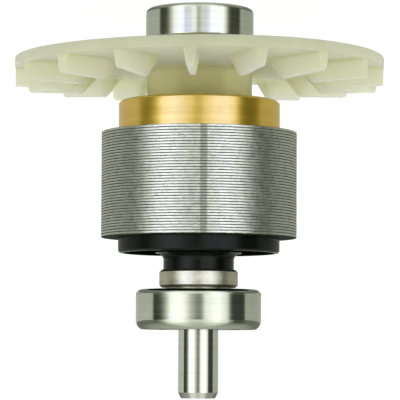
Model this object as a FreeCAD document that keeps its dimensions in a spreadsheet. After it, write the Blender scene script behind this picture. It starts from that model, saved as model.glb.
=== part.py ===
import FreeCAD, Part
import math
import os
import re
import Sketcher

# Rotor of a small brushless motor, with both ball bearings on its shaft.
# It stands on its rear bearing: the origin is the middle of that bearing's outer face, and +Z runs
# along the shaft, past the fan, the brass ring, the core and the front bearing, to the output stub.
# Sizes are in millimetres. Each piece's own frame starts where the piece starts along the shaft.

# Driving sizes: each one is written once, here
driving_sizes = {
    # shaft
    "journal_dia": 7,
    "journal_relief_width": 0.7,
    "journal_relief_depth": 0.25,
    "shoulder_step": 0.5,
    "shaft_end_recess": 0.3,
    "shaft_end_chamfer": 0.4,
    "stub_length": 12,
    "stub_chamfer_across": 0.5,
    "stub_chamfer_along": 1,
    "centre_hole_dia": 2,
    "centre_pilot_dia": 0.9,
    "centre_pilot_length": 1.2,
    # fan
    "fan_dia": 65,
    "fan_bearing_gap": 0.6,
    "fan_boss_dia": 11,
    "fan_boss_length": 2.25,
    "fan_disc_thickness": 1.85,
    "fan_rim_rounding": 0.25,
    "fan_hub_dia": 18.5,
    "fan_hub_length": 5.7,
    "fan_hub_fillet": 0.8,
    "fan_turn": -2.47,
    "blade_count": 17,
    "blade_height": 3.4,
    "blade_root_width": 2,
    "blade_tip_width": 1.3,
    "blade_tip_rounding": 0.4,
    "blade_rim_step": 0.1,
    "blade_corner_rounding": 0.4,
    "blade_inner_dia": 44.6,
    "blade_end_run": 3.4,
    # brass balance ring
    "balance_ring_dia": 28.4,
    "balance_ring_length": 5.5,
    "balance_ring_chamfer": 0.4,
    # core of punched sheets, and the magnets in its pockets
    "core_dia": 34.4,
    "core_length": 18.5,
    "sheet_count": 38,
    "sheet_edge_lean": 0.05,
    "magnet_count": 4,
    "magnet_thickness": 2.5,
    "magnet_clearance": 0.05,
    "pocket_inner_wall": 2.9,
    "pocket_bridge": 2.5,
    "pocket_rim_wall": 2,
    # black end moulding: sleeve through the core, flange and neck
    "sleeve_dia": 12.4,
    "flange_dia": 28.4,
    "flange_length": 2.7,
    "flange_chamfer": 0.3,
    "flange_lip": 0.9,
    "flange_land": 1.4,
    "flange_groove_depth": 1.2,
    "neck_length": 2.95,
    "neck_fillet": 1.3,
    # sintered spacer collar
    "collar_dia": 13.8,
    "collar_length": 3.1,
    "collar_chamfer": 0.4,
    "collar_spigot_step": 1.65,
    "collar_spigot_length": 0.35,
    # ball bearings
    "front_outer_dia": 22,
    "front_width": 7,
    "front_ball_size": 3.969,
    "front_ball_count": 7,
    "rear_outer_dia": 19,
    "rear_width": 6,
    "rear_ball_size": 3.5,
    "rear_ball_count": 7,
    "bearing_ring_rounding": 1,
    "front_lead_radius": 1.8,
    "front_lead_step": 0.95,
    "bearing_bore_chamfer": 0.3,
    "race_clearance": 0.05,
    "race_conformity": 1.04,
    "race_land_share": 0.3,
    "shield_seat_share": 0.45,
    "shield_seat_depth": 0.75,
    "shield_rim_width": 0.5,
    "shield_recess": 0.2,
    "shield_thickness": 0.3,
    "shield_running_gap": 0.15,
    "cage_land_gap": 0.3,
    "cage_pocket_gap": 0.1,
    "cage_shield_gap": 0.1,
    "cage_web": 0.45,
    "cage_crown": 0.7,
    "cage_slot_width": 0.9,
    "cage_slot_depth": 1.6,
}

# Sizes that follow from the driving ones: stations along the shaft first
derived_sizes = {
    "shaft_dia": "journal_dia + 2 * shoulder_step",
    "centre_cone_length": "(centre_hole_dia - centre_pilot_dia) / 2 / tan(30 deg)",
    "centre_hole_length": "centre_cone_length + centre_pilot_length",
    "fan_start": "rear_width + fan_bearing_gap",
    "balance_ring_start": "fan_start + fan_boss_length + fan_disc_thickness + fan_hub_length",
    "core_start": "balance_ring_start + balance_ring_length",
    "flange_start": "core_start + core_length",
    "collar_start": "flange_start + flange_length + neck_length",
    "front_start": "collar_start + collar_length + collar_spigot_length",
    "stub_start": "front_start + front_width",
    "shaft_end": "stub_start + stub_length",
    "rear_start": "0",
    "sheet_pitch": "core_length / sheet_count",
    "blade_base": "fan_boss_length + fan_disc_thickness",
    "blade_top": "blade_base + blade_height",
    "blade_outer_radius": "fan_dia / 2 - blade_rim_step",
    "blade_tip_radius": "min(blade_tip_rounding; 0.45 * blade_tip_width)",
    "neck_rounding": "min(neck_fillet; 0.95 * flange_land)",
    "front_lead_length": "sqrt(front_lead_radius ^ 2 - (front_lead_radius - front_lead_step) ^ 2)",
    "pocket_thickness": "magnet_thickness + 2 * magnet_clearance",
    "pocket_start": "sleeve_dia / 2 + pocket_inner_wall",
    "pocket_end": "pocket_start + pocket_thickness",
    "width_between_bridges": (
        "2 * pocket_start * tan(180 deg / magnet_count) - pocket_bridge / cos(180 deg / magnet_count)"
    ),
    "width_inside_rim": "2 * sqrt((core_dia / 2 - pocket_rim_wall) ^ 2 - pocket_end ^ 2)",
    "pocket_width": "min(width_between_bridges; width_inside_rim)",
    "magnet_width": "pocket_width - 2 * magnet_clearance",
    "ball_margin": "shield_recess + shield_thickness + cage_shield_gap + cage_web + cage_pocket_gap",
}
for end in ("front", "rear"):
    derived_sizes.update(
        {
            f"{end}_ball_room": f"{end}_width - 2 * ball_margin",
            f"{end}_ball_dia": f"min({end}_ball_size; {end}_ball_room)",
            f"{end}_pitch_radius": f"({end}_outer_dia + journal_dia) / 4",
            f"{end}_inner_land": f"{end}_pitch_radius - race_land_share * {end}_ball_dia",
            f"{end}_outer_land": f"{end}_pitch_radius + race_land_share * {end}_ball_dia",
            f"{end}_race_radius": f"race_conformity * {end}_ball_dia / 2",
            f"{end}_race_offset": f"{end}_race_radius - {end}_ball_dia / 2 - race_clearance",
            f"{end}_race_half_width": (
                f"sqrt({end}_race_radius ^ 2 - (race_land_share * {end}_ball_dia + {end}_race_offset) ^ 2)"
            ),
            f"{end}_seat_radius": (
                f"{end}_outer_land + shield_seat_share * ({end}_outer_dia / 2 - {end}_outer_land)"
            ),
            f"{end}_rounding": f"min(bearing_ring_rounding; 0.7 * ({end}_outer_dia / 2 - {end}_seat_radius))",
            f"{end}_pocket_radius": f"{end}_ball_dia / 2 + cage_pocket_gap",
            f"{end}_cage_bottom": f"{end}_width / 2 - {end}_pocket_radius - cage_web",
            f"{end}_cage_top": f"{end}_width / 2 + cage_crown",
        }
    )

document = FreeCAD.newDocument("MotorRotor")
sizes = document.addObject("Spreadsheet::Sheet", "Sizes")


def fill_sheet():
    rows = [(alias, str(value)) for alias, value in driving_sizes.items()]
    rows += [(alias, "=" + formula) for alias, formula in derived_sizes.items()]
    for row, (alias, content) in enumerate(rows, start=1):
        sizes.set(f"A{row}", alias)
        sizes.set(f"B{row}", content)
        sizes.setAlias(f"B{row}", alias)
    document.recompute()


def linked(expression):
    """The expression with each size read from the sheet: every size's name holds an underscore."""
    return re.sub(r"\b([a-z]+(?:_[a-z]+)+)\b", r"Sizes.\1", expression)


def value_of(expression):
    return float(sizes.evalExpression(linked(expression)))


def bind(item, settings):
    for path, expression in settings.items():
        item.setExpression(path, linked(expression))


def add_body(name, start):
    body = document.addObject("PartDesign::Body", name)
    body.Label = name
    bind(body, {"Placement.Base.z": start})
    return body


def origin_feature(body, role):
    return next(item for item in body.Origin.OriginFeatures if item.Role == role)


def add_sketch(body, name, role="XZ_Plane", offset="0"):
    sketch = body.newObject("Sketcher::SketchObject", name)
    sketch.AttachmentSupport = [(origin_feature(body, role), "")]
    sketch.MapMode = "FlatFace"
    bind(sketch, {"AttachmentOffset.Base.z": offset})
    return sketch


# An outline is a list of corners, each (across, along) or (across, along, rounding), with an arc's
# (radius, centre across, centre along) in braces between the two corners that it joins


def corner_places(outline):
    """Corners and arcs in order, with each rounded corner opened into two corners and an arc."""
    corners = [item for item in outline if isinstance(item, tuple)]
    places = []
    for item in outline:
        if isinstance(item, dict) or len(item) == 2:
            places.append(item)
            continue
        across, along, rounding = item
        at = corners.index(item)
        here = (value_of(across), value_of(along))
        ends = []
        centre = [across, along]
        for beside in (corners[at - 1], corners[(at + 1) % len(corners)]):
            there = (value_of(beside[0]), value_of(beside[1]))
            level = abs(there[1] - here[1]) < 1e-9
            axis = 0 if level else 1
            sign = "+" if there[axis] > here[axis] else "-"
            moved = [across, along]
            moved[axis] = f"({moved[axis]}) {sign} ({rounding})"
            centre[axis] = moved[axis]
            ends.append(tuple(moved))
        places += [ends[0], {"radius": rounding, "centre": tuple(centre)}, ends[1]]
    return places


def draw_outline(sketch, outline):
    """Closes the outline in the sketch, with every corner placed from the sheet."""
    places = corner_places(outline)
    corners = [(place, at) for at, place in enumerate(places) if isinstance(place, tuple)]
    starts = []
    for index, (corner, at) in enumerate(corners):
        following = corners[(index + 1) % len(corners)][0]
        first = FreeCAD.Vector(value_of(corner[0]), value_of(corner[1]), 0)
        last = FreeCAD.Vector(value_of(following[0]), value_of(following[1]), 0)
        between = places[(at + 1) % len(places)]
        if isinstance(between, tuple):
            starts.append((sketch.addGeometry(Part.LineSegment(first, last), False), 1, 2))
            continue
        centre = FreeCAD.Vector(value_of(between["centre"][0]), value_of(between["centre"][1]), 0)
        angles = [math.atan2(end.y - centre.y, end.x - centre.x) for end in (first, last)]
        forward = (first - centre).cross(last - centre).z > 0
        if not forward:
            angles.reverse()
        circle = Part.Circle(centre, FreeCAD.Vector(0, 0, 1), value_of(between["radius"]))
        number = sketch.addGeometry(Part.ArcOfCircle(circle, *angles), False)
        radius = sketch.addConstraint(Sketcher.Constraint("Radius", number, circle.Radius))
        bind(sketch, {f"Constraints[{radius}]": between["radius"]})
        starts.append((number, 1, 2) if forward else (number, 2, 1))
    for index, (number, start, end) in enumerate(starts):
        after = starts[(index + 1) % len(starts)]
        sketch.addConstraint(Sketcher.Constraint("Coincident", number, end, after[0], after[1]))
    for (corner, _), (number, start, _) in zip(corners, starts):
        for kind, expression in zip(("DistanceX", "DistanceY"), corner):
            if value_of(expression) == 0:
                line = -2 if kind == "DistanceX" else -1
                sketch.addConstraint(Sketcher.Constraint("PointOnObject", number, start, line))
                continue
            place = Sketcher.Constraint(kind, -1, 1, number, start, value_of(expression))
            bind(sketch, {f"Constraints[{sketch.addConstraint(place)}]": expression})


def turned(body, name, outline, cut=False):
    """A revolution of the outline about the shaft's axis, or a groove."""
    sketch = add_sketch(body, name + "Profile")
    draw_outline(sketch, outline)
    feature = body.newObject("PartDesign::Groove" if cut else "PartDesign::Revolution", name)
    feature.Profile = sketch
    feature.ReferenceAxis = (sketch, ["V_Axis"])
    feature.Angle = 360
    sketch.Visibility = False
    return feature


def extruded(body, name, sketch, length, cut=False, both_ways=False):
    feature = body.newObject("PartDesign::Pocket" if cut else "PartDesign::Pad", name)
    feature.Profile = sketch
    bind(feature, {"Length": length})
    feature.Midplane = both_ways
    feature.Reversed = cut and not both_ways
    return feature


def round_pattern(body, name, features, count):
    pattern = body.newObject("PartDesign::PolarPattern", name)
    pattern.Originals = features
    pattern.Axis = (origin_feature(body, "Z_Axis"), [""])
    pattern.Angle = 360
    bind(pattern, {"Occurrences": count})
    body.Tip = pattern
    return pattern


def rectangle(across, along, width, height):
    """Corners of a rectangle that starts at (across, along)."""
    return [
        (across, along),
        (f"{across} + {width}", along),
        (f"{across} + {width}", f"{along} + {height}"),
        (across, f"{along} + {height}"),
    ]


def make_shaft():
    body = add_body("shaft", "shaft_end_recess")
    journal = "journal_dia / 2"
    relief = "journal_dia / 2 - journal_relief_depth"
    middle = "shaft_dia / 2"
    end = "shaft_end - shaft_end_recess"
    centre_hole = "centre_hole_dia / 2"
    pilot = "centre_pilot_dia / 2"
    outline = [
        ("0", "centre_hole_length"),
        (pilot, "centre_hole_length"),
        (pilot, "centre_cone_length"),
        (centre_hole, "0"),
        (f"{journal} - shaft_end_chamfer", "0"),
        (journal, "shaft_end_chamfer"),
        (journal, "rear_width - shaft_end_recess"),
        (middle, "rear_width - shaft_end_recess"),
        (middle, "collar_start - shaft_end_recess"),
        (journal, "collar_start - shaft_end_recess"),
        (journal, "stub_start - shaft_end_recess - journal_relief_width"),
        (relief, "stub_start - shaft_end_recess - journal_relief_width"),
        (relief, "stub_start - shaft_end_recess"),
        (journal, "stub_start - shaft_end_recess"),
        (journal, f"{end} - stub_chamfer_along"),
        (f"{journal} - stub_chamfer_across", end),
        (centre_hole, end),
        (pilot, f"{end} - centre_cone_length"),
        (pilot, f"{end} - centre_hole_length"),
        ("0", f"{end} - centre_hole_length"),
    ]
    turned(body, "Turning", outline)
    return body


def make_fan():
    body = add_body("fan", "fan_start")
    bind(body, {"Placement.Rotation.Angle": "fan_turn"})
    bore = "shaft_dia / 2"
    rim = "fan_dia / 2"
    hub = "fan_hub_dia / 2"
    outline = [
        (bore, "0"),
        ("fan_boss_dia / 2", "0"),
        ("fan_boss_dia / 2", "fan_boss_length"),
        (rim, "fan_boss_length", "fan_rim_rounding"),
        (rim, "blade_base"),
        (hub, "blade_base", "fan_hub_fillet"),
        (hub, "blade_base + fan_hub_length"),
        (bore, "blade_base + fan_hub_length"),
    ]
    turned(body, "DiscAndHub", outline)
    blade = make_blade(body)
    document.recompute()
    round_pattern(body, "Blades", [blade], "blade_count")
    document.recompute()
    clear = "blade_top + blade_height"
    inner = "blade_inner_dia / 2"
    inner_ends = [
        (f"{inner} - blade_end_run", "blade_base"),
        (inner, "blade_top"),
        (inner, clear),
        (hub, clear),
        (hub, "blade_base + fan_hub_fillet"),
        (f"{hub} + fan_hub_fillet", "blade_base"),
    ]
    turned(body, "BladeInnerEnds", inner_ends, cut=True)
    corner = "blade_corner_rounding"
    outer_ends = [
        ("blade_outer_radius", "blade_base"),
        ("blade_outer_radius", f"blade_top - {corner}"),
        {"radius": corner, "centre": (f"blade_outer_radius - {corner}", f"blade_top - {corner}")},
        (f"blade_outer_radius - {corner}", "blade_top"),
        (f"blade_outer_radius - {corner}", clear),
        (f"{rim} + blade_height", clear),
        (f"{rim} + blade_height", "blade_base"),
    ]
    turned(body, "BladeOuterEnds", outer_ends, cut=True)
    return body


def make_blade(body):
    """One radial blade: narrower and rounded at its tip, and sunk a little into the disc."""
    sketch = add_sketch(body, "BladeSection", "YZ_Plane", "fan_hub_dia / 2 + fan_hub_fillet")
    root = "blade_root_width / 2"
    tip = "blade_tip_width / 2"
    foot = "blade_base - fan_disc_thickness / 4"
    shoulder = "blade_top - blade_tip_radius"
    arc = {"radius": "blade_tip_radius", "centre": (f"{tip} - blade_tip_radius", shoulder)}
    mirrored_arc = {"radius": "blade_tip_radius", "centre": (f"blade_tip_radius - {tip}", shoulder)}
    outline = [
        (f"-{root}", foot),
        (root, foot),
        (tip, shoulder),
        arc,
        (f"{tip} - blade_tip_radius", "blade_top"),
        (f"blade_tip_radius - {tip}", "blade_top"),
        mirrored_arc,
        (f"-{tip}", shoulder),
    ]
    draw_outline(sketch, outline)
    length = "fan_dia / 2 - fan_hub_dia / 2 - fan_hub_fillet"
    return extruded(body, "Blade", sketch, length)


def make_balance_ring():
    body = add_body("balance_ring", "balance_ring_start")
    outer = "balance_ring_dia / 2"
    outline = [
        ("shaft_dia / 2", "0"),
        (f"{outer} - balance_ring_chamfer", "0"),
        (outer, "balance_ring_chamfer"),
        (outer, "balance_ring_length"),
        ("shaft_dia / 2", "balance_ring_length"),
    ]
    turned(body, "Turning", outline)
    return body


def make_rotor_core():
    """Punched sheets, each with an edge that leans a little, stacked and bonded, with magnet pockets."""
    body = add_body("rotor_core", "core_start")
    outline = [
        ("sleeve_dia / 2", "0"),
        ("core_dia / 2", "0"),
        ("core_dia / 2 - sheet_edge_lean", "sheet_pitch"),
        ("sleeve_dia / 2", "sheet_pitch"),
    ]
    sheet = turned(body, "Sheet", outline)
    document.recompute()
    stack = body.newObject("PartDesign::LinearPattern", "Stack")
    stack.Originals = [sheet]
    stack.Direction = (origin_feature(body, "Z_Axis"), [""])
    bind(stack, {"Length": "core_length - sheet_pitch", "Occurrences": "sheet_count"})
    body.Tip = stack
    document.recompute()
    sketch = add_sketch(body, "PocketOutline", "XY_Plane")
    draw_outline(sketch, rectangle("pocket_start", "-pocket_width / 2", "pocket_thickness", "pocket_width"))
    pocket = extruded(body, "MagnetPocket", sketch, "core_length", cut=True)
    document.recompute()
    round_pattern(body, "MagnetPockets", [pocket], "magnet_count")
    return body


def make_magnet(number):
    body = add_body(f"magnet_{number}", "core_start")
    bind(body, {"Placement.Rotation.Angle": f"360 / magnet_count * {number - 1}"})
    sketch = add_sketch(body, "Face", "XY_Plane")
    start = "pocket_start + magnet_clearance"
    draw_outline(sketch, rectangle(start, "-magnet_width / 2", "magnet_thickness", "magnet_width"))
    extruded(body, "Block", sketch, "core_length")
    return body


def make_end_moulding():
    """The insulating sleeve through the core, the flange with its recessed face, and the neck."""
    body = add_body("end_moulding", "core_start")
    flange = "flange_dia / 2"
    neck = "sleeve_dia / 2"
    face = "core_length + flange_length"
    floor = f"{face} - flange_groove_depth"
    end = f"{face} + neck_length"
    outline = [
        ("shaft_dia / 2", "0"),
        (neck, "0"),
        (neck, "core_length"),
        (flange, "core_length"),
        (flange, f"{face} - flange_chamfer"),
        (f"{flange} - flange_chamfer", face),
        (f"{flange} - flange_lip", face),
        (f"{flange} - flange_lip", floor),
        (f"{neck} + flange_land", floor),
        (f"{neck} + flange_land", face),
        (neck, face, "neck_rounding"),
        (neck, end),
        ("shaft_dia / 2", end),
    ]
    turned(body, "Moulding", outline)
    return body


def make_spacer_collar():
    body = add_body("spacer_collar", "collar_start")
    outer = "collar_dia / 2"
    outline = [
        ("journal_dia / 2", "0"),
        (f"{outer} - collar_chamfer", "0"),
        (outer, "collar_chamfer"),
        (outer, "collar_length - collar_chamfer"),
        (f"{outer} - collar_chamfer", "collar_length"),
        (f"{outer} - collar_spigot_step", "collar_length"),
        (f"{outer} - collar_spigot_step", "collar_length + collar_spigot_length"),
        ("journal_dia / 2", "collar_length + collar_spigot_length"),
    ]
    turned(body, "Turning", outline)
    return body


def make_outer_ring(end):
    """Ring with a race and two shield seats: the front one is rounded more at its outer face."""
    body = add_body(f"{end}_bearing_outer_ring", f"{end}_start")
    outer = f"{end}_outer_dia / 2"
    seat = f"{end}_seat_radius"
    land = f"{end}_outer_land"
    middle = f"{end}_width / 2"
    half = f"{end}_race_half_width"
    race = {
        "radius": f"{end}_race_radius",
        "centre": (f"{end}_pitch_radius - {end}_race_offset", middle),
    }
    outer_face = [(outer, f"{end}_width", f"{end}_rounding")]
    if end == "front":
        start = "front_width - front_lead_length"
        lead_in = {"radius": "front_lead_radius", "centre": (f"{outer} - front_lead_radius", start)}
        outer_face = [(outer, start), lead_in, (f"{outer} - front_lead_step", "front_width")]
    outline = [
        (seat, "0"),
        (outer, "0", f"{end}_rounding"),
        *outer_face,
        (seat, f"{end}_width"),
        (seat, f"{end}_width - shield_seat_depth"),
        (land, f"{end}_width - shield_seat_depth"),
        (land, f"{middle} + {half}"),
        race,
        (land, f"{middle} - {half}"),
        (land, "shield_seat_depth"),
        (seat, "shield_seat_depth"),
    ]
    turned(body, "Turning", outline)
    return body


def make_inner_ring(end):
    body = add_body(f"{end}_bearing_inner_ring", f"{end}_start")
    bore = "journal_dia / 2"
    land = f"{end}_inner_land"
    middle = f"{end}_width / 2"
    half = f"{end}_race_half_width"
    chamfer = "bearing_bore_chamfer"
    race = {
        "radius": f"{end}_race_radius",
        "centre": (f"{end}_pitch_radius + {end}_race_offset", middle),
    }
    outline = [
        (f"{bore} + {chamfer}", "0"),
        (land, "0"),
        (land, f"{middle} - {half}"),
        race,
        (land, f"{middle} + {half}"),
        (land, f"{end}_width"),
        (f"{bore} + {chamfer}", f"{end}_width"),
        (bore, f"{end}_width - {chamfer}"),
        (bore, chamfer),
    ]
    turned(body, "Turning", outline)
    return body


def make_shield(end, side):
    """A pressed shield: its thick rim sits in the outer ring, and its plate stops short of the inner."""
    body = add_body(f"{end}_bearing_{side}_shield", f"{end}_start")
    seat = f"{end}_seat_radius"
    bare = [
        (f"{end}_inner_land + shield_running_gap", "shield_recess"),
        (seat, "shield_recess"),
        (seat, "shield_seat_depth"),
        (f"{seat} - shield_rim_width", "shield_seat_depth"),
        (f"{seat} - shield_rim_width", "shield_recess + shield_thickness"),
        (f"{end}_inner_land + shield_running_gap", "shield_recess + shield_thickness"),
    ]
    if side == "outer":
        bare = [(across, f"{end}_width - ({along})") for across, along in bare]
    turned(body, "Pressing", bare)
    return body


def make_cage(end):
    """A moulded crown cage: a band with a snap-in pocket for each ball and a slot between pockets."""
    body = add_body(f"{end}_bearing_cage", f"{end}_start")
    inner = f"{end}_inner_land + cage_land_gap"
    outer = f"{end}_outer_land - cage_land_gap"
    bottom = f"{end}_cage_bottom"
    top = f"{end}_cage_top"
    turned(body, "Band", [(inner, bottom), (outer, bottom), (outer, top), (inner, top)])
    pocket = body.newObject("PartDesign::SubtractiveSphere", "Pocket")
    pocket.AttachmentSupport = [(origin_feature(body, "XY_Plane"), "")]
    pocket.MapMode = "FlatFace"
    bind(
        pocket,
        {
            "Radius": f"{end}_pocket_radius",
            "AttachmentOffset.Base.x": f"{end}_pitch_radius",
            "AttachmentOffset.Base.z": f"{end}_width / 2",
        },
    )
    document.recompute()
    round_pattern(body, "Pockets", [pocket], f"{end}_ball_count")
    document.recompute()
    sketch = add_sketch(body, "SlotSection", "YZ_Plane")
    upright = FreeCAD.Vector(0, 1, 0)
    sketch.AttachmentOffset = FreeCAD.Placement(FreeCAD.Vector(), FreeCAD.Rotation(upright, 1))
    bind(sketch, {"AttachmentOffset.Rotation.Angle": f"180 / {end}_ball_count"})
    floor = f"{top} - cage_slot_depth"
    slot = rectangle("-cage_slot_width / 2", floor, "cage_slot_width", "2 * cage_slot_depth")
    draw_outline(sketch, slot)
    cut = extruded(body, "Slot", sketch, f"{end}_outer_dia / 2", cut=True)
    document.recompute()
    round_pattern(body, "Slots", [cut], f"{end}_ball_count")
    return body


def make_ball(end, number):
    ball = document.addObject("Part::Sphere", f"{end}_bearing_ball_{number}")
    ball.Label = ball.Name
    turn = f"360 deg * {number - 1} / {end}_ball_count"
    bind(
        ball,
        {
            "Radius": f"{end}_ball_dia / 2",
            "Placement.Base.x": f"{end}_pitch_radius * cos({turn})",
            "Placement.Base.y": f"{end}_pitch_radius * sin({turn})",
            "Placement.Base.z": f"{end}_start + {end}_width / 2",
        },
    )
    return ball


def make_bearing(end):
    pieces = [make_outer_ring(end), make_inner_ring(end), make_cage(end)]
    pieces += [make_shield(end, side) for side in ("inner", "outer")]
    count = int(value_of(f"{end}_ball_count"))
    pieces += [make_ball(end, number + 1) for number in range(count)]
    return pieces


def check(pieces):
    failed = [item.Name for item in document.Objects if {"Invalid", "Error"} & set(item.State)]
    failed += [piece.Label for piece in pieces if piece.Shape.isNull() or not piece.Shape.isValid()]
    if failed:
        raise RuntimeError("failed: " + ", ".join(failed))


fill_sheet()
parts = [make_shaft(), make_fan(), make_balance_ring(), make_rotor_core()]
parts += [make_magnet(number + 1) for number in range(int(value_of("magnet_count")))]
parts += [make_end_moulding(), make_spacer_collar()]
parts += make_bearing("front") + make_bearing("rear")
document.recompute()
check(parts)

os.makedirs("parts", exist_ok=True)
for part in parts:
    part.Shape.exportStep(f"parts/{part.Label}.step")
    print(part.Label, len(part.Shape.Solids), round(part.Shape.Volume, 2))
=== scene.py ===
import bmesh
import bpy
import math
import random
from mathutils import Matrix, Vector
from mathutils.geometry import tessellate_polygon


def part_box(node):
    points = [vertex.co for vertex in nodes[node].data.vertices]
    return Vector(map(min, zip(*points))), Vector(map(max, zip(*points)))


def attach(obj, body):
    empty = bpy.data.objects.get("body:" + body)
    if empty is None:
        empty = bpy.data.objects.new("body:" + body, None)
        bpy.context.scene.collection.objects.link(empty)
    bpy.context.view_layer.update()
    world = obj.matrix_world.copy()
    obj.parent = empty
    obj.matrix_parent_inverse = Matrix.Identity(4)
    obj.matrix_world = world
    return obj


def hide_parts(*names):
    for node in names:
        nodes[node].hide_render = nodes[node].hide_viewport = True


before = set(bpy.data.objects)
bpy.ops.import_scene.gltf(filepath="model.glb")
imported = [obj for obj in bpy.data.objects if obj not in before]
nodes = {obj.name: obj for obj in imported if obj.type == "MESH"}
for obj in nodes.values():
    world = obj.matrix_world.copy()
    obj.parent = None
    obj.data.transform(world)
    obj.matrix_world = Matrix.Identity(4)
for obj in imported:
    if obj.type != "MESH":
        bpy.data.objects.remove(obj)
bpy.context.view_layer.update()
mm = 0.001
print("frame loaded:", len(nodes), "nodes")


# helpers for node trees

noiseMiddle = (0.35, 0.65)      # noise seldom leaves its middle, so masks made of it span one of these
noiseWide = (0.30, 0.70)


def setInput(tree, socket, value):
    if isinstance(value, bpy.types.NodeSocket):
        tree.links.new(value, socket)
    else:
        socket.default_value = value


def addNode(tree, kind, values=None, **options):
    node = tree.nodes.new("ShaderNode" + kind)
    for name, value in options.items():
        setattr(node, name, value)
    for name, value in (values or {}).items():
        setInput(tree, node.inputs[name], value)
    return node


def calculate(tree, operation, *values):
    node = addNode(tree, "Math", operation=operation)
    for index, value in enumerate(values):
        setInput(tree, node.inputs[index], value)
    return node.outputs[0]


def spread(tree, value, low, high, start=0.0, end=1.0):  # start..end of the value becomes low..high
    values = {"Value": value, "From Min": start, "From Max": end, "To Min": low, "To Max": high}
    return addNode(tree, "MapRange", values).outputs[0]


def blend(tree, first, second, share):  # this share of the second mask and the rest of the first
    return calculate(tree, "ADD", calculate(tree, "MULTIPLY", first, 1.0 - share),
                     calculate(tree, "MULTIPLY", second, share))


def mixColours(tree, mask, first, second):
    node = addNode(tree, "Mix", data_type="RGBA")
    for index, value in ((0, mask), (6, first), (7, second)):
        setInput(tree, node.inputs[index], value)
    return node.outputs[2]


def noise(tree, place, scale, detail=2.0, roughness=0.5):
    values = {"Vector": place, "Scale": scale, "Detail": detail, "Roughness": roughness}
    return addNode(tree, "TexNoise", values).outputs[0]


def fromAxis(tree, parts):  # how far a place lies from the shaft's axis
    across = calculate(tree, "MULTIPLY", parts[0], parts[0])
    return calculate(tree, "SQRT", calculate(tree, "MULTIPLY_ADD", parts[1], parts[1], across))


def along(tree, parts, turn):  # how far a place lies in the direction at this angle round the axis
    return calculate(tree, "ADD", calculate(tree, "MULTIPLY", parts[0], math.cos(turn)),
                     calculate(tree, "MULTIPLY", parts[1], math.sin(turn)))


def newGroup(name, inputs, outputs):
    tree = bpy.data.node_groups.new(name, "ShaderNodeTree")
    for title, value in inputs.items():
        socket = tree.interface.new_socket(title, in_out="INPUT", socket_type="NodeSocketFloat")
        socket.default_value = value
    for title in outputs:
        tree.interface.new_socket(title, in_out="OUTPUT", socket_type="NodeSocketFloat")
    start = tree.nodes.new("NodeGroupInput")
    end = tree.nodes.new("NodeGroupOutput")
    return tree, start.outputs, end.inputs


def useGroup(tree, group, **values):
    node = tree.nodes.new("ShaderNodeGroup")
    node.node_tree = group
    for name, value in values.items():
        node.inputs[name].default_value = value
    return node.outputs


# effects that several finishes share


def makeTurningLines():  # fine rings that a cutting tool or a grinding wheel leaves round the axis
    driftScale = 180.0      # how quickly the rings wander on their way round
    bandShare = 0.12        # the broad bands are this much coarser than the lines
    inputs = {"linesPerMm": 12.0, "breakUp": 0.25}
    tree, given, result = newGroup("turningLines", inputs, ["lines", "bands"])
    place = addNode(tree, "TexCoord").outputs["Object"]
    parts = addNode(tree, "SeparateXYZ", {0: place}).outputs
    drift = calculate(tree, "MULTIPLY", noise(tree, place, driftScale), given["breakUp"])
    drift = calculate(tree, "MULTIPLY", drift, mm)
    section = addNode(tree, "CombineXYZ", {0: fromAxis(tree, parts), 1: drift, 2: parts[2]}).outputs[0]
    frequency = calculate(tree, "MULTIPLY", given["linesPerMm"], 1.0 / mm)
    tree.links.new(noise(tree, section, frequency, detail=3.0, roughness=0.6), result["lines"])
    broad = calculate(tree, "MULTIPLY", frequency, bandShare)
    tree.links.new(noise(tree, section, broad), result["bands"])
    return tree


def makeGrain():  # small irregular grain, and a mottle over it
    mottleShare = 0.14      # the mottle is this much coarser than the grain
    tree, given, result = newGroup("grain", {"grainsPerMm": 6.0}, ["grain", "mottle"])
    place = addNode(tree, "TexCoord").outputs["Object"]
    frequency = calculate(tree, "MULTIPLY", given["grainsPerMm"], 1.0 / mm)
    tree.links.new(noise(tree, place, frequency, detail=3.0, roughness=0.65), result["grain"])
    coarse = calculate(tree, "MULTIPLY", frequency, mottleShare)
    tree.links.new(noise(tree, place, coarse, detail=3.0, roughness=0.6), result["mottle"])
    return tree


def makeEdgeMask():  # 1 on outer edges, where handling rubs the finish
    onEdge, onFace = 0.80, 0.985    # how well a rounded normal agrees with the face's own
    tree, given, result = newGroup("edgeMask", {"widthMm": 0.12}, ["edge"])
    width = calculate(tree, "MULTIPLY", given["widthMm"], mm)
    rounded = addNode(tree, "Bevel", {"Radius": width}, samples=4).outputs[0]
    plain = addNode(tree, "NewGeometry").outputs["Normal"]
    facing = addNode(tree, "VectorMath", {0: rounded, 1: plain}, operation="DOT_PRODUCT").outputs["Value"]
    tree.links.new(spread(tree, facing, 1.0, 0.0, onEdge, onFace), result["edge"])
    return tree


turningLines = makeTurningLines()
grain = makeGrain()
edgeMask = makeEdgeMask()


def shaderInputs(material):
    return next(node.inputs for node in material.node_tree.nodes if node.type == "BSDF_PRINCIPLED")


def newMaterial(name, constants):
    material = bpy.data.materials.new(name)
    material.use_nodes = True
    shader = shaderInputs(material)
    for title, value in constants.items():
        shader[title].default_value = value
    return material, material.node_tree, shader


def addBump(tree, shader, height, distance):
    values = {"Height": height, "Distance": distance * mm, "Strength": 1.0}
    tree.links.new(addNode(tree, "Bump", values).outputs[0], shader["Normal"])


# finishes; widths, depths, heights and radii are in mm


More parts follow.
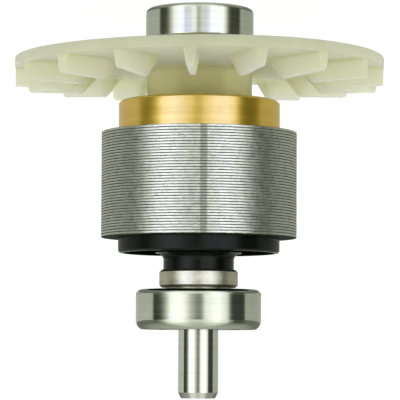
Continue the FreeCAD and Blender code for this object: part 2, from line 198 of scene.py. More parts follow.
def turnedMetal(name, look):  # any metal that is turned or ground round the axis
    material, tree, shader = newMaterial(name, {
        "Metallic": 1.0, "Coat Weight": look["coat"], "Coat IOR": look["coatIndex"],
        "Coat Roughness": look["coatRoughness"],
    })
    marks = useGroup(tree, turningLines, linesPerMm=look["linesPerMm"], breakUp=look["breakUp"])
    specks = useGroup(tree, grain, grainsPerMm=look["grainsPerMm"])
    worn = useGroup(tree, edgeMask, widthMm=look["edgeWidth"])
    tone = blend(tree, marks["bands"], specks["mottle"], look["mottleShare"])
    colour = mixColours(tree, spread(tree, tone, 0.0, 1.0, *noiseMiddle), look["dark"], look["light"])
    tree.links.new(mixColours(tree, worn["edge"], colour, look["edge"]), shader["Base Color"])
    tree.links.new(spread(tree, tone, *look["roughness"], *noiseWide), shader["Roughness"])
    height = blend(tree, marks["lines"], specks["grain"], look["grainShare"])
    addBump(tree, shader, height, look["depth"])
    return material


bearingSteelLook = {
    "light": (0.53, 0.55, 0.485, 1), "dark": (0.46, 0.48, 0.415, 1), "edge": (0.60, 0.61, 0.56, 1),
    "roughness": (0.07, 0.12), "linesPerMm": 14.0, "breakUp": 0.4, "grainsPerMm": 2.6,
    "grainShare": 0.85, "mottleShare": 0.4, "depth": 0.0035, "edgeWidth": 0.08,
    "coat": 0.0, "coatIndex": 1.9, "coatRoughness": 0.2,
}
shaftSteelLook = dict(bearingSteelLook, light=(0.59, 0.605, 0.55, 1), dark=(0.52, 0.535, 0.48, 1),
                      roughness=(0.06, 0.11), depth=0.0015, grainShare=0.5)
brassLook = dict(bearingSteelLook, light=(0.70, 0.515, 0.115, 1), dark=(0.61, 0.43, 0.07, 1),
                 edge=(0.78, 0.62, 0.25, 1), roughness=(0.11, 0.18), linesPerMm=9.0, breakUp=0.3,
                 grainsPerMm=4.0, grainShare=0.7, depth=0.006, edgeWidth=0.10, coat=0.15)
sinteredLook = dict(bearingSteelLook, light=(0.74, 0.74, 0.60, 1), dark=(0.47, 0.465, 0.36, 1),
                    edge=(0.60, 0.59, 0.50, 1), roughness=(0.30, 0.42), linesPerMm=6.0, breakUp=0.8,
                    grainsPerMm=5.0, depth=0.010, edgeWidth=0.12)
shieldLook = dict(bearingSteelLook, roughness=(0.22, 0.32), linesPerMm=7.0, depth=0.002)
ballLook = dict(bearingSteelLook, light=(0.60, 0.60, 0.58, 1), dark=(0.55, 0.55, 0.53, 1),
                roughness=(0.03, 0.06), depth=0.0002)
magnetLook = dict(bearingSteelLook, light=(0.56, 0.55, 0.52, 1), dark=(0.48, 0.47, 0.44, 1),
                  roughness=(0.22, 0.30), grainShare=1.0, depth=0.002)


sheetLook = {
    "light": (0.66, 0.685, 0.615, 1), "dark": (0.52, 0.545, 0.475, 1), "gap": (0.018, 0.022, 0.013, 1),
    "roughness": (0.26, 0.34), "gapRoughness": 0.75, "specular": 0.15, "depth": 0.004,
    "grainsPerMm": 7.0, "linesPerMm": 16.0, "breakUp": 1.2, "lineShare": 0.4,
    "gapShare": 0.29, "gapSoftness": 0.25, "wander": 0.14, "wanderScale": 1400.0,
    # painted reflection: a darker strip down the side of the stack facing the camera stands in for a narrow
    # flat
    "paintedFlatReflection": (0.34, 0.355, 0.31, 1), "flatAt": -92.65, "flatHalfWidth": 0.6, "flatSoftness": 0.2,
    "dashes": 0.28, "dashScale": 2600.0, "dashSquash": 2.0, "dashFrom": 0.52, "dashTo": 0.70,
}


def gapMask(tree, place, height, look, start, pitch):  # 1 between the sheets, with short dashes beside
    wander = spread(tree, noise(tree, place, look["wanderScale"]), -1.0, 1.0)
    wander = calculate(tree, "MULTIPLY", wander, look["wander"])
    phase = calculate(tree, "DIVIDE", calculate(tree, "SUBTRACT", height, start), pitch)
    phase = calculate(tree, "FRACT", calculate(tree, "ADD", phase, wander))
    fromGap = calculate(tree, "MINIMUM", phase, calculate(tree, "SUBTRACT", 1.0, phase))
    ends = [look["gapShare"] * (0.5 + side * look["gapSoftness"]) for side in (-1, 1)]
    gap = spread(tree, fromGap, 1.0, 0.0, *ends)
    values = {"Vector": place, "Scale": (1.0, 1.0, look["dashSquash"])}
    dashes = noise(tree, addNode(tree, "Mapping", values).outputs[0], look["dashScale"])
    dashes = spread(tree, dashes, 0.0, look["dashes"], look["dashFrom"], look["dashTo"])
    return calculate(tree, "MAXIMUM", gap, dashes)


def paintedFlatMask(tree, parts, look):  # 1 on a narrow strip down one side of the stack, where a flat's reflection is painted as darker colour
    turn = math.radians(look["flatAt"])
    outwards = along(tree, parts, turn)
    across = along(tree, parts, turn + math.pi / 2)
    ends = [look["flatHalfWidth"] * mm * (1.0 + side * look["flatSoftness"]) for side in (-1, 1)]
    paintedFlatReflection = spread(tree, calculate(tree, "ABSOLUTE", across), 1.0, 0.0, *ends)
    return calculate(tree, "MULTIPLY", paintedFlatReflection, calculate(tree, "GREATER_THAN", outwards, 0.0))


def sheetSteel(name, look, start, pitch):  # ground edges of punched sheets, dark between them
    material, tree, shader = newMaterial(name, {"Specular IOR Level": look["specular"]})
    place = addNode(tree, "TexCoord").outputs["Object"]
    parts = addNode(tree, "SeparateXYZ", {0: place}).outputs
    specks = useGroup(tree, grain, grainsPerMm=look["grainsPerMm"])
    marks = useGroup(tree, turningLines, linesPerMm=look["linesPerMm"], breakUp=look["breakUp"])
    gap = gapMask(tree, place, parts[2], look, start, pitch)
    tone = spread(tree, specks["mottle"], 0.0, 1.0, *noiseMiddle)
    colour = mixColours(tree, tone, look["dark"], look["light"])
    # painted reflection of the narrow flat, as a darker strip
    colour = mixColours(tree, paintedFlatMask(tree, parts, look), colour, look["paintedFlatReflection"])
    tree.links.new(mixColours(tree, gap, colour, look["gap"]), shader["Base Color"])
    tree.links.new(calculate(tree, "SUBTRACT", 1.0, gap), shader["Metallic"])
    rough = spread(tree, specks["mottle"], *look["roughness"], *noiseWide)
    rough = calculate(tree, "MAXIMUM", rough, calculate(tree, "MULTIPLY", gap, look["gapRoughness"]))
    tree.links.new(rough, shader["Roughness"])
    relief = blend(tree, specks["grain"], marks["lines"], look["lineShare"])
    addBump(tree, shader, relief, look["depth"])
    return material


nylonLook = {
    "light": (0.79, 0.81, 0.60, 1), "dark": (0.76, 0.78, 0.57, 1), "grainsPerMm": 1.6, "depth": 0.003,
    "roughness": (0.85, 1.0), "specular": 0.0, "clearShare": 0.42, "index": 1.10,
    "scatterShare": 1.0, "scatterMm": 6.0, "scatterColour": (1.0, 0.95, 0.55),
    "blade": (0.785, 0.80, 0.66, 1), "bladeFrom": 10.8, "bladeTo": 11.3, "bladeEnd": 31.6,
    # painted shade: the blades are coloured darker and more olive towards their inner ends by the hub
    "bladeInnerShade": (0.62, 0.62, 0.38, 1), "innerShadeFrom": 19.0, "innerShadeTo": 23.5,
    # painted shade and a painted glow of the brass below: the hub under the disc is coloured warmer and more
    # olive
    "hub": (0.83, 0.79, 0.45, 1), "hubRadius": 9.7, "hubEdge": 10.3, "hubFrom": 10.4, "hubTo": 12.1,
    # painted reflection of the brass ring: the hub's foot is coloured yellower towards the ring
    "foot": (0.92, 0.83, 0.47, 1), "footFrom": 13.6, "footTo": 16.2, "footPower": 2.0,
}
cageNylonLook = dict(nylonLook, light=(0.50, 0.46, 0.33, 1), dark=(0.42, 0.38, 0.26, 1),
                     roughness=(0.4, 0.5), specular=0.5, clearShare=0.0, index=1.5,
                     scatterShare=0.3, scatterMm=0.6)


def mouldedNylon(name, look):  # natural nylon: cloudy, and light soaks through it
    material, tree, shader = newMaterial(name, {
        "Specular IOR Level": look["specular"], "Transmission Weight": look["clearShare"],
        "IOR": look["index"], "Subsurface Weight": look["scatterShare"],
        "Subsurface Radius": look["scatterColour"], "Subsurface Scale": look["scatterMm"] * mm,
    })
    specks = useGroup(tree, grain, grainsPerMm=look["grainsPerMm"])
    tone = spread(tree, specks["mottle"], 0.0, 1.0, *noiseWide)
    tree.links.new(mixColours(tree, tone, look["dark"], look["light"]), shader["Base Color"])
    tree.links.new(spread(tree, specks["grain"], *look["roughness"], *noiseWide), shader["Roughness"])
    addBump(tree, shader, specks["grain"], look["depth"])
    return material


def fanNylon(name, look):  # thin blades paler than the disc, with painted shade on their inner ends, and a hub with painted shade and a painted glow of the brass below it, strongest at its foot
    material = mouldedNylon(name, look)
    tree = material.node_tree
    shader = shaderInputs(material)
    colour = shader["Base Color"].links[0].from_socket
    parts = addNode(tree, "SeparateXYZ", {0: addNode(tree, "TexCoord").outputs["Object"]}).outputs
    radius = fromAxis(tree, parts)

    def fade(value, start, end, low=0.0, high=1.0):  # low up to the start, high from the end on
        return spread(tree, value, low, high, look[start] * mm, look[end] * mm)

    # painted shade: darker, more olive blade colour towards the inner ends by the hub
    blade = mixColours(tree, fade(radius, "innerShadeFrom", "innerShadeTo"), look["bladeInnerShade"], look["blade"])
    thin = calculate(tree, "MULTIPLY", fade(parts[2], "bladeFrom", "bladeTo"),
                     calculate(tree, "LESS_THAN", radius, look["bladeEnd"] * mm))
    colour = mixColours(tree, thin, colour, blade)      # the thin blades are paler than the disc
    # painted shade and painted brass glow on the hub below the disc
    inside = fade(radius, "hubRadius", "hubEdge", 1.0, 0.0)
    hub = calculate(tree, "MULTIPLY", inside, fade(parts[2], "hubFrom", "hubTo"))
    colour = mixColours(tree, hub, colour, look["hub"])
    # painted reflection of the brass ring, strongest where the hub meets it
    foot = calculate(tree, "POWER", fade(parts[2], "footFrom", "footTo"), look["footPower"])
    foot = calculate(tree, "MULTIPLY", foot, inside)
    tree.links.new(mixColours(tree, foot, colour, look["foot"]), shader["Base Color"])
    return material


resinLook = {
    "light": (0.005, 0.008, 0.004, 1), "dark": (0.001, 0.003, 0.001, 1), "edge": (0.02, 0.023, 0.016, 1),
    "roughness": (0.10, 0.17), "specular": 0.17, "depth": 0.005, "edgeWidth": 0.12,
    "grainsPerMm": 5.0, "linesPerMm": 4.0, "breakUp": 1.0, "lineDepth": 0.5,
}


def blackResin(name, look):
    material, tree, shader = newMaterial(name, {"Specular IOR Level": look["specular"]})
    specks = useGroup(tree, grain, grainsPerMm=look["grainsPerMm"])
    marks = useGroup(tree, turningLines, linesPerMm=look["linesPerMm"], breakUp=look["breakUp"])
    worn = useGroup(tree, edgeMask, widthMm=look["edgeWidth"])
    tone = spread(tree, specks["mottle"], 0.0, 1.0, *noiseWide)
    colour = mixColours(tree, tone, look["dark"], look["light"])
    tree.links.new(mixColours(tree, worn["edge"], colour, look["edge"]), shader["Base Color"])
    tree.links.new(spread(tree, tone, *look["roughness"]), shader["Roughness"])
    lines = calculate(tree, "MULTIPLY", marks["lines"], look["lineDepth"])
    addBump(tree, shader, calculate(tree, "ADD", specks["grain"], lines), look["depth"])
    return material


# one finish for each kind of piece

sheetCount = 38
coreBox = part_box("rotor_core")
sheetPitch = (coreBox[1].z - coreBox[0].z) / sheetCount

finishes = {
    "shaft": turnedMetal("shaftSteel", shaftSteelLook),
    "fan": fanNylon("fanNylon", nylonLook),
    "balance_ring": turnedMetal("turnedBrass", brassLook),
    "rotor_core": sheetSteel("sheetEdges", sheetLook, coreBox[0].z, sheetPitch),
    "end_moulding": blackResin("blackResin", resinLook),
    "spacer_collar": turnedMetal("sinteredIron", sinteredLook),
    "ring": turnedMetal("bearingSteel", bearingSteelLook),
    "shield": turnedMetal("shieldSteel", shieldLook),
    "cage": mouldedNylon("cageNylon", cageNylonLook),
    "ball": turnedMetal("ballSteel", ballLook),
    "magnet": turnedMetal("magnetPlating", magnetLook),
}


def finishFor(name):  # "ring" comes last, as every piece of a bearing has it in its name
    if name in finishes:
        return finishes[name]
    return next(finishes[word] for word in ("shield", "cage", "ball", "magnet", "ring") if word in name)


for name, node in nodes.items():
    if not node.material_slots:
        node.data.materials.append(None)
    for place in node.material_slots:
        place.material = finishFor(name)
print("finishes set")


# meshes


def meshObject(name, places, faces):
    mesh = bpy.data.meshes.new(name)
    mesh.from_pydata(places, [], faces)
    mesh.validate()
    piece = bpy.data.objects.new(name, mesh)
    bpy.context.scene.collection.objects.link(piece)
    return piece


def joinRings(faces, rings):  # a band of faces between each ring of numbers and the next
    for ring, after in zip(rings, rings[1:]):
        for column in range(len(ring)):
            beside = (column + 1) % len(ring)
            faces.append((ring[column], ring[beside], after[beside], after[column]))


def closedMesh(name, rings):  # rings of places, each ring joined to the next and the last to the first
    count = len(rings[0])
    numbers = [range(row * count, (row + 1) * count) for row in range(len(rings))]
    faces = []
    joinRings(faces, numbers + numbers[:1])
    return meshObject(name, [place for ring in rings for place in ring], faces)


def faceOutwards(piece):
    shape = bmesh.new()
    shape.from_mesh(piece.data)
    bmesh.ops.recalc_face_normals(shape, faces=shape.faces)
    shape.to_mesh(piece.data)
    shape.free()


def smooth(piece, sharpDegrees):
    piece.data.polygons.foreach_set("use_smooth", [True] * len(piece.data.polygons))
    piece.data.set_sharp_from_angle(angle=math.radians(sharpDegrees))


def arc(centre, radius, fromDegrees, toDegrees, steps):  # places of an arc, both ends included
    places = []
    for step in range(steps + 1):
        angle = math.radians(fromDegrees + (toDegrees - fromDegrees) * step / steps)
        places.append((centre[0] + radius * math.cos(angle), centre[1] + radius * math.sin(angle)))
    return places


# fan: disc, hub and radial blades in one moulding, in mm from the fan's rear end

fanShape = {
    "bore": 8.0, "bossDia": 11.0, "bossLength": 2.25, "bossFillet": 0.4, "hubDia": 18.5, "hubFillet": 0.8,
    "discThickness": 1.85, "rimRounding": 0.25, "edgeRounding": 0.12,
    "blades": 17, "turnDegrees": -2.47, "bladeHeight": 3.25, "bladeRise": 0.38, "rimStep": 0.1,
    "rootWidth": 2.1, "tipWidth": 1.3, "rootFillet": 0.35, "tipRounding": 0.38,
    "leastSection": 0.5, "filletShare": 0.3, "roundingShare": 0.4, "leastTop": 0.05,
    "cornerRounding": 0.4, "innerTipRadius": 22.3, "innerRun": 3.4, "innerStep": 0.3,
    "gapColumns": 7, "topSteps": 14, "sharpDegrees": 40.0,
    "twist": -0.00036, "slope": -0.018, "curve": -0.0005, "warpFrom": 9.5, "warpTo": 14.0,
}


def warpAt(shape, x, y):  # a moulded disc is never quite flat: how far up this place of it sits
    share = (math.hypot(x, y) - shape["warpFrom"]) / (shape["warpTo"] - shape["warpFrom"])
    far = max(y, 0.0)
    lift = shape["twist"] * x * min(y, 0.0) + shape["slope"] * far + shape["curve"] * far * far
    return min(max(share, 0.0), 1.0) * lift


def bladeSection(shape, height):  # (across, up) over one blade that is this high here
    full = max(height, shape["leastSection"])       # where it is lower, this section is pressed flat
    fillet = min(shape["rootFillet"], shape["filletShare"] * full)
    rounding = min(shape["tipRounding"], shape["roundingShare"] * full)
    root = shape["rootWidth"] / 2
    lean = (root - shape["tipWidth"] / 2) / shape["bladeHeight"]
    half = max(root - lean * full, rounding + shape["leastTop"])
    flank = 0.4                         # one more place this far up each side
    filletEnd, roundingStart = -8, 176  # degrees: the sides lean, so the arcs stop short of upright
    left = arc((-root - fillet, fillet), fillet, -90, filletEnd, 4)
    left += [(-root + lean * full * flank, fillet + (full - fillet - rounding) * flank)]
    left += arc((-half + rounding, full - rounding), rounding, roundingStart, 90, 4)
    right = [(-across, up) for across, up in reversed(left)]
    return [(across, up * height / full) for across, up in left + [(0.0, full)] + right]


def discOutline(shape, front, rim):  # (radius, up) of the boss and the back and rim of the disc
    rear = shape["bossLength"]
    boss = shape["bossDia"] / 2
    fillet = shape["bossFillet"]
    edge = shape["edgeRounding"]
    soft = shape["rimRounding"]
    outline = [(shape["bore"] / 2, 0.0)]
    outline += arc((boss - edge, edge), edge, -90, 0, 3)
    outline += arc((boss + fillet, rear - fillet), fillet, 180, 90, 4)
    outline += [(boss + (rim - boss) * share, rear) for share in (0.3, 0.6, 0.85)]
    outline += arc((rim - soft, rear + soft), soft, -90, 0, 5)
    outline += arc((rim - edge, front - edge), edge, 0, 90, 3)
    return outline


def bladeProfile(shape, rim):  # (radius, blade height) from the rim to the cut inner end
    outer = rim - shape["rimStep"]
    corner = shape["cornerRounding"]
    high = shape["bladeHeight"]
    profile = [(outer, high * share) for share in (0.0, 0.3, 0.6)]
    profile += arc((outer - corner, high - corner), corner, 0, 90, 5)
    start = outer - corner
    end = shape["innerTipRadius"] + shape["innerStep"]
    for step in range(1, shape["topSteps"] + 1):
        share = step / shape["topSteps"]
        profile.append((start + (end - start) * share, high + shape["bladeRise"] * share))
    peak = high + shape["bladeRise"]
    for share in (0.06, 0.14, 0.3, 0.45, 0.6, 0.75, 0.88, 0.96, 1.0):
        profile.append((shape["innerTipRadius"] - shape["innerRun"] * share, peak * (1 - share)))
    return profile


def hubOutline(shape, front, top):  # (radius, up) from the inner ends of the blades up to the bore
    hub = shape["hubDia"] / 2
    fillet = shape["hubFillet"]
    edge = shape["edgeRounding"]
    start = shape["innerTipRadius"] - shape["innerRun"] - shape["innerStep"]
    outline = [(start + (hub + fillet - start) * share, front) for share in (0.0, 0.35, 0.7)]
    outline += arc((hub + fillet, front + fillet), fillet, -90, -180, 6)
    outline += [(hub, (front + top) / 2)]
    outline += arc((hub - edge, top - edge), edge, 0, 90, 3)
    outline += [(shape["bore"] / 2, top)]
    return outline


def fanStations(shape, top, rim):  # (radius, height above the rear end, blade height) round the section
    front = shape["bossLength"] + shape["discThickness"]
    stations = [(radius, up, 0.0) for radius, up in discOutline(shape, front, rim)]
    stations += [(radius, front, height) for radius, height in bladeProfile(shape, rim)]
    stations += [(radius, up, 0.0) for radius, up in hubOutline(shape, front, top)]
    return stations


def makeFan(shape):
    low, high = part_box("fan")
    rim = min(-low.x, high.x, -low.y, high.y) / mm
    sector = 360.0 / shape["blades"]
    gaps = shape["gapColumns"] + 1
    rings = []
    for radius, up, height in fanStations(shape, (high.z - low.z) / mm, rim):
        section = bladeSection(shape, height)
        spreadAt = max(radius, shape["hubDia"] / 2)
        angles = [math.degrees(math.asin(across / spreadAt)) for across, _ in section]
        rises = [rise for _, rise in section] + [0.0] * shape["gapColumns"]
        gap = sector - angles[-1] + angles[0]
        angles += [angles[-1] + gap * column / gaps for column in range(1, gaps)]
        ring = []
        for blade in range(shape["blades"]):
            for angle, rise in zip(angles, rises):
                turn = math.radians(shape["turnDegrees"] + blade * sector + angle)
                x = radius * math.cos(turn)
                y = radius * math.sin(turn)
                level = up + (rise if height else 0.0) + warpAt(shape, x, y)
                ring.append((x * mm, y * mm, low.z + level * mm))
        rings.append(ring)
    piece = closedMesh("fanMoulding", rings)
    smooth(piece, shape["sharpDegrees"])
    piece.data.materials.append(finishes["fan"])
    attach(piece, "rotor")
    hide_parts("fan")


# core: punched sheets, each with a rolled edge on one side and a burr and a gap on the other, in mm

coreShape = {
    "sheets": sheetCount, "gapDepth": 0.16, "gapWidth": 0.08, "roll": 0.05,
    "burr": 0.025, "burrLength": 0.03, "uneven": 0.010, "offCentre": 0.008, "shiftShare": 0.7,
    "bore": 12.4, "pocketGap": 0.05, "columns": 180, "sharpDegrees": 50.0, "seed": 7,
}


def sheetOutline(shape, size, first, last):  # (radius, up) over the edge of one sheet
    roll = shape["roll"]
    outline = [(size - shape["gapDepth"], first)]
    outline += arc((size - roll, first + roll), roll, -80, 0, 3)
    outline += [(size, last - shape["burrLength"]), (size - shape["burr"], last)]
    outline += [(size - shape["gapDepth"], last)]
    return outline


def makeCore(shape):
    low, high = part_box("rotor_core")
    pitch = sheetPitch / mm
    draw = random.Random(shape["seed"])
    places = []
    faces = []

    def addRing(radius, up, shift=(0.0, 0.0)):
        for column in range(shape["columns"]):
            turn = 2 * math.pi * column / shape["columns"]
            x = radius * math.cos(turn) + shift[0]
            y = radius * math.sin(turn) + shift[1]
            places.append((x * mm, y * mm, low.z + up * mm))
        return list(range(len(places) - shape["columns"], len(places)))

    outside = []
    for sheet in range(shape["sheets"]):
        size = high.x / mm - draw.uniform(0.0, 2 * shape["uneven"]) - shape["offCentre"]
        shift = [draw.uniform(-1, 1) * shape["offCentre"] * shape["shiftShare"] for _ in range(2)]
        first = sheet * pitch + (shape["gapWidth"] / 2 if sheet else 0.0)
        last = (sheet + 1) * pitch - (shape["gapWidth"] / 2 if sheet < shape["sheets"] - 1 else 0.0)
        outside += [addRing(radius, up, shift) for radius, up in sheetOutline(shape, size, first, last)]
    bore = [addRing(shape["bore"] / 2, up) for up in (0.0, shape["sheets"] * pitch)]
    joinRings(faces, outside)
    joinRings(faces, [bore[1], bore[0]])
    pockets = []
    for name in sorted(name for name in nodes if name.startswith("magnet_")):
        near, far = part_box(name)
        gap = shape["pocketGap"] * mm
        corners = [(near.x - gap, near.y - gap), (far.x + gap, near.y - gap),
                   (far.x + gap, far.y + gap), (near.x - gap, far.y + gap)]
        pocket = []
        for height in (low.z, high.z):
            places += [(*corner, height) for corner in corners]
            pocket.append(list(range(len(places) - len(corners), len(places))))
        joinRings(faces, [pocket[1], pocket[0]])
        pockets.append(pocket)
    for end, rim in ((0, outside[0]), (1, outside[-1])):
        loops = [rim, bore[end]] + [pocket[end] for pocket in pockets]
        numbers = [number for loop in loops for number in loop]
        cap = tessellate_polygon([[Vector(places[number]) for number in loop] for loop in loops])
        faces += [tuple(numbers[corner] for corner in face) for face in cap]
    piece = meshObject("coreSheets", places, faces)
    faceOutwards(piece)
    smooth(piece, shape["sharpDegrees"])
    piece.data.materials.append(finishes["rotor_core"])
    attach(piece, "rotor")
    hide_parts("rotor_core")


makeFan(fanShape)
makeCore(coreShape)
print("fan and core built")


# studio

camera = {
    "place": (-0.185, -404.71, 61.16),          # mm, at the photograph's side of the part
    "downTilt": 0.0677, "roll": 0.0048,         # radians
    "focalLength": 2304.06, "imageSize": 400,   # pixels
    "sensorWidth": 36.0,                        # mm
    "clipStart": 0.01, "clipEnd": 20.0,         # m
}


def makeCamera(look):  # the photograph shows the rotor fan end up, so the camera is upside down
    data = bpy.data.cameras.new("photoCamera")
    data.sensor_width = look["sensorWidth"]
    data.lens = look["focalLength"] / look["imageSize"] * look["sensorWidth"]
    data.clip_start = look["clipStart"]
    data.clip_end = look["clipEnd"]
    tilt = look["downTilt"]
    forward = Vector((0, math.cos(tilt), -math.sin(tilt)))
    right = Vector((-1, 0, 0))
    down = Vector((0, math.sin(tilt), math.cos(tilt)))
    turnedRight = right * math.cos(look["roll"]) - down * math.sin(look["roll"])
    turnedDown = right * math.sin(look["roll"]) + down * math.cos(look["roll"])
    place = Vector(look["place"]) * mm
    columns = (turnedRight, -turnedDown, -forward, place)
    viewer = bpy.data.objects.new("photoCamera", data)
    viewer.matrix_world = Matrix([[column[row] for column in columns] for row in range(3)] + [[0, 0, 0, 1]])
    bpy.context.scene.collection.objects.link(viewer)
    bpy.context.scene.camera = viewer


studio = {                   # sizes in m
    "ambient": 1.0,          # world light on matt surfaces
    "background": 1.0,       # what the camera and reflections see
    "floorHalfSize": 12.0, "paper": (0.86, 0.86, 0.86, 1), "floorGlow": 1.06,
    "floorShade": 0.08,      # share of the floor that shows the shadow
    "lampWatts": 0.35, "lampSize": 0.9, "lampDistance": 1.3, "lampAim": 0.03,
    "lamps": [("keyLeft", 42.0, 0.7), ("keyRight", -38.0, 0.7), ("fillBack", 170.0, 0.8)],  # azimuth, height
    "bandDistance": 1.2, "bandStep": 3,                     # the step is in degrees
    "dimGlow": 0.35, "dimTint": (0.98, 1.04, 0.88, 1),      # colour of the light where the glow is this low
    "brightGlow": 1.7, "brightTint": (1.0, 1.01, 0.97, 1),  # and this high
}

# the walls of light round the part that its metal reflects, one above the other: each has a stretch of
# height in m and, as pairs of azimuth in degrees and glow, its sides and its middle in front of the part;
# azimuth 0 is the camera's side and + goes towards +X
steelSides = (
    [(-180, 0.50), (-104, 0.62), (-96, 0.62), (-92, 0.07), (-66, 0.07), (-63, 0.12), (-59, 0.42),
     (-54, 1.3), (-45, 1.7), (-36, 2.1)],
    [(42, 2.15), (53, 1.75), (57, 1.15), (61, 0.75), (65, 0.4), (69, 0.18), (75, 0.07), (89, 0.05),
     (93.5, 0.74), (108, 0.76), (180, 0.55)],
)
coreSides = (
    [(-180, 0.26), (-104, 0.30), (-92, 0.29), (-88, 0.10), (-66, 0.12), (-58, 0.6), (-50, 1.4),
     (-38, 1.75)],
    [(42, 2.2), (54, 1.95), (66, 1.25), (75, 0.6), (84, 0.30), (90, 0.28), (95, 0.32), (180, 0.28)],
)
dimSides = (
    [(-180, 0.24), (-104, 0.26), (-90, 0.14), (-72, 0.12), (-62, 0.5), (-54, 1.3), (-36, 1.9)],
    [(42, 1.95), (54, 1.75), (62, 1.2), (72, 0.5), (82, 0.22), (95, 0.26), (180, 0.24)],
)
rearSides = (
    [(-180, 0.46), (-104, 0.60), (-98, 0.56), (-93, 0.07), (-70, 0.08), (-64, 0.30), (-59, 1.05),
     (-52, 2.0), (-46, 2.1), (-38, 2.1)],
    [(42, 2.15), (56, 1.8), (61, 1.2), (65, 0.8), (69, 0.42), (73, 0.2), (78, 0.08), (92, 0.07),
     (97, 0.66), (108, 0.68), (180, 0.52)],
)
brassSides = (
    [(-180, 0.42), (-105, 0.58), (-96, 0.52), (-86, 0.28), (-76, 0.24), (-68, 0.26), (-60, 0.34),
     (-51, 1.1), (-44, 1.6), (-36, 1.72)],
    [(42, 1.72), (51, 1.55), (57, 1.15), (62, 0.60), (67, 0.38), (73, 0.28), (84, 0.30), (92, 0.52),
     (100, 0.70), (180, 0.44)],
)
bands = [   # the top and bottom ones have a lid with a glow of its own in the middle
    {"name": "highLight", "low": 0.14, "high": 0.58, "sides": dimSides, "lid": 0.72,
     "middle": [(-28, 1.8), (-20, 1.65), (-13, 1.4), (-4, 1.1), (4, 1.1), (16, 1.25), (24, 1.65),
                (32, 1.95)]},
    {"name": "steelLight", "low": 0.0, "high": 0.14, "sides": steelSides,
     "middle": [(-28, 1.95), (-20, 1.75), (-13, 1.5), (-9, 0.85), (-5.5, 0.42), (-3, 0.33), (2, 0.33),
                (5, 0.45), (9, 0.62), (15, 0.95), (19, 1.3), (24, 1.75), (32, 2.0)]},
    {"name": "coreLight", "low": -0.075, "high": 0.0, "sides": coreSides,
     "middle": [(-34, 1.55), (-26, 1.5), (-18, 1.6), (-12, 1.75), (-8, 1.7), (-5, 1.3), (-2, 0.8),
                (2, 0.7), (9, 0.8), (16, 1.1), (24, 1.55), (32, 2.05)]},
    {"name": "brassLight", "low": -0.145, "high": -0.075, "sides": brassSides,
     "dimTint": (1.35, 1.22, 0.45, 1), "brightTint": (0.78, 0.88, 3.6, 1),
     "middle": [(-28, 1.70), (-20, 1.50), (-14, 1.28), (-7, 1.0), (0, 0.76), (7, 0.74), (14, 1.05),
                (21, 1.35), (29, 1.65)]},
    {"name": "lowLight", "low": -0.60, "high": -0.23, "sides": dimSides, "lid": 0.7,
     "middle": [(-28, 2.0), (-18, 1.6), (-4, 1.2), (4, 1.1), (16, 1.4), (32, 1.8)]},
    {"name": "rearLight", "low": -0.23, "high": -0.145, "sides": rearSides,
     "middle": [(-24, 2.0), (-18, 1.4), (-13, 1.25), (-4, 1.2), (1, 0.75), (4, 0.75), (8, 1.6),
                (13, 1.8), (19, 1.4), (30, 1.2), (35, 1.9)]},
]


def seenDirectly(tree):  # 1 for camera, glossy and transmission rays
    path = addNode(tree, "LightPath").outputs
    seen = calculate(tree, "MAXIMUM", path["Is Camera Ray"], path["Is Glossy Ray"])
    return calculate(tree, "MAXIMUM", seen, path["Is Transmission Ray"])


def makeWorld(look):
    world = bpy.data.worlds.new("studioWorld")
    world.use_nodes = True
    bpy.context.scene.world = world
    tree = world.node_tree
    tree.nodes.clear()
    strength = spread(tree, seenDirectly(tree), look["ambient"], look["background"])
    light = addNode(tree, "Background", {"Color": (1, 1, 1, 1), "Strength": strength}).outputs[0]
    tree.links.new(light, tree.nodes.new("ShaderNodeOutputWorld").inputs[0])


def stageMaterial(name):
    material = bpy.data.materials.new(name)
    material.use_nodes = True
    material.node_tree.nodes.clear()
    return material, material.node_tree


def makeFloor(look):
    size = look["floorHalfSize"]
    corners = [(-size, -size, 0), (size, -size, 0), (size, size, 0), (-size, size, 0)]
    floor = meshObject("studioFloor", corners, [(0, 1, 2, 3)])
    material, tree = stageMaterial("floorPaper")
    paper = addNode(tree, "BsdfDiffuse", {"Color": look["paper"]}).outputs[0]
    white = addNode(tree, "Emission", {"Color": (1, 1, 1, 1), "Strength": look["floorGlow"]}).outputs[0]
    share = spread(tree, seenDirectly(tree), 0.0, 1.0 - look["floorShade"])
    mixed = addNode(tree, "MixShader", {0: share, 1: paper, 2: white}).outputs[0]
    tree.links.new(mixed, tree.nodes.new("ShaderNodeOutputMaterial").inputs[0])
    floor.data.materials.append(material)
    floor.visible_glossy = False       # so that the walls of light below it show in the metal


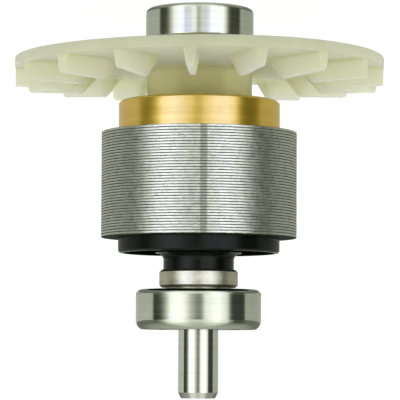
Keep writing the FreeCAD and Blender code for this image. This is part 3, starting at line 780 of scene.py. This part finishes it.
def makeBand(band, look):
    points = band["sides"][0] + band["middle"] + band["sides"][1]
    columns = []
    for (start, glow), (end, after) in zip(points, points[1:]):
        steps = math.ceil((end - start) / look["bandStep"])
        for step in range(steps):
            share = step / steps
            columns.append((start + (end - start) * share, glow + (after - glow) * share))
    columns.append(points[-1])
    places = []
    glows = []
    for azimuth, glow in columns:
        turn = math.radians(azimuth)
        x = math.sin(turn) * look["bandDistance"]
        y = -math.cos(turn) * look["bandDistance"]
        places += [(x, y, band["low"]), (x, y, band["high"])]
        glows += [glow, glow]
    firsts = range(0, 2 * (len(columns) - 1), 2)        # the lower place of each column
    faces = [(first, first + 2, first + 3, first + 1) for first in firsts]
    if "lid" in band:
        height, edge = (band["high"], 1) if band["low"] > 0 else (band["low"], 0)
        places.append((0.0, 0.0, height))
        glows.append(band["lid"])
        faces += [(first + edge, first + 2 + edge, len(places) - 1) for first in firsts]
    piece = meshObject(band["name"], places, faces)
    piece.data.attributes.new("glow", "FLOAT", "POINT").data.foreach_set("value", glows)
    dressBand(piece, {**look, **band})      # a band's own tints come before the studio's


def dressBand(piece, look):  # glows by its attribute, and only reflections show it
    material, tree = stageMaterial(piece.name)
    strength = addNode(tree, "Attribute", attribute_name="glow").outputs["Fac"]
    bright = spread(tree, strength, 0.0, 1.0, look["dimGlow"], look["brightGlow"])
    colour = mixColours(tree, bright, look["dimTint"], look["brightTint"])
    glow = addNode(tree, "Emission", {"Color": colour, "Strength": strength}).outputs[0]
    tree.links.new(glow, tree.nodes.new("ShaderNodeOutputMaterial").inputs[0])
    piece.data.materials.append(material)
    for kind in ("camera", "diffuse", "transmission", "volume_scatter", "shadow"):
        setattr(piece, "visible_" + kind, False)


def makeLamp(name, azimuth, height, look):
    data = bpy.data.lights.new(name, "AREA")
    data.shape = "SQUARE"
    data.size = look["lampSize"]
    data.energy = look["lampWatts"]
    lamp = bpy.data.objects.new(name, data)
    turn = math.radians(azimuth)
    flat = math.sqrt(look["lampDistance"] ** 2 - height ** 2)
    place = Vector((math.sin(turn) * flat, -math.cos(turn) * flat, height))
    lamp.location = place
    lamp.rotation_euler = (Vector((0, 0, look["lampAim"])) - place).to_track_quat("-Z", "Y").to_euler()
    lamp.visible_glossy = False
    bpy.context.scene.collection.objects.link(lamp)


makeCamera(camera)
makeWorld(studio)
makeFloor(studio)
for band in bands:
    makeBand(band, studio)
for name, azimuth, height in studio["lamps"]:
    makeLamp(name, azimuth, height, studio)
bpy.context.scene.view_settings.view_transform = "Standard"
print("studio set")
